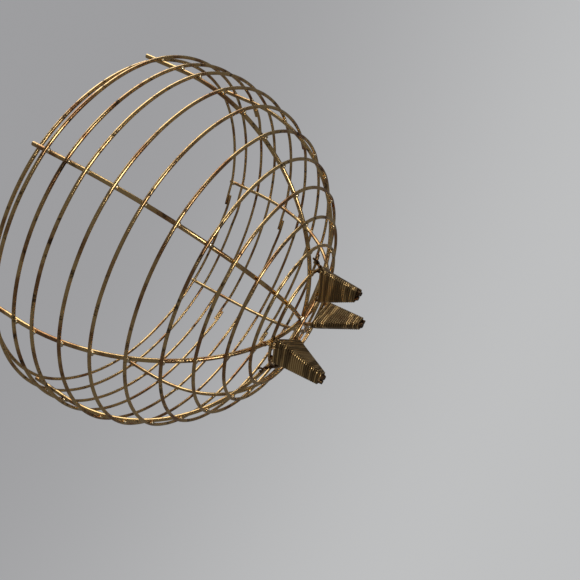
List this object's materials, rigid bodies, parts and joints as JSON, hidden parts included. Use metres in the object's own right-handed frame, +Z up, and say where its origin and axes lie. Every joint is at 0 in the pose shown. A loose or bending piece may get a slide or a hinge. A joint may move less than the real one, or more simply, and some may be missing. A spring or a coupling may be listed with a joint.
{
  "type": "open wire cage",
  "caption": "Open-mouthed round cage of welded antique-brass wire: a bowl of hoops on ribs, standing on wire-wrapped feet.",
  "frame": {"origin": "on the ground under the middle of the cage, between the feet", "axes": "+Z up, out of the cage's mouth, along the bowl's own axis; +X and +Y along the two long ribs"},
  "size_m": [0.1422, 0.1422, 0.0987],
  "materials": {
    "hoop_wire": "antique plated, worn",
    "rib_wire": "antique plated, worn",
    "wrap_wire": "antique plated, dark in the grooves",
    "core_wire": "antique plated, dull",
    "weld_metal": "bright weld metal"
  },
  "bodies": {
    "root": {"foot_a_rod_inner": "core_wire", "foot_a_rod_left": "core_wire", "foot_a_rod_right": "core_wire", "foot_a_tail": "wrap_wire", "foot_a_winding": "wrap_wire", "foot_b_rod_inner": "core_wire", "foot_b_rod_left": "core_wire", "foot_b_rod_right": "core_wire", "foot_b_tail": "wrap_wire", "foot_b_winding": "wrap_wire", "foot_c_rod_inner": "core_wire", "foot_c_rod_left": "core_wire", "foot_c_rod_right": "core_wire", "foot_c_tail_left": "wrap_wire", "foot_c_tail_right": "wrap_wire", "foot_c_winding": "wrap_wire", "hoop_01": "hoop_wire", "hoop_02": "hoop_wire", "hoop_03": "hoop_wire", "hoop_04": "hoop_wire", "hoop_05": "hoop_wire", "hoop_06": "hoop_wire", "hoop_07": "hoop_wire", "hoop_08": "hoop_wire", "hoop_09": "hoop_wire", "hoop_10": "hoop_wire", "hoop_11": "hoop_wire", "long_rib_lower": "rib_wire", "long_rib_upper": "rib_wire", "pole_bead": "weld_metal", "rim_ring": "hoop_wire", "short_rib_1": "rib_wire", "short_rib_2": "rib_wire", "short_rib_3": "rib_wire", "short_rib_4": "rib_wire", "weld_beads": "weld_metal"}
  },
  "joints": []
}
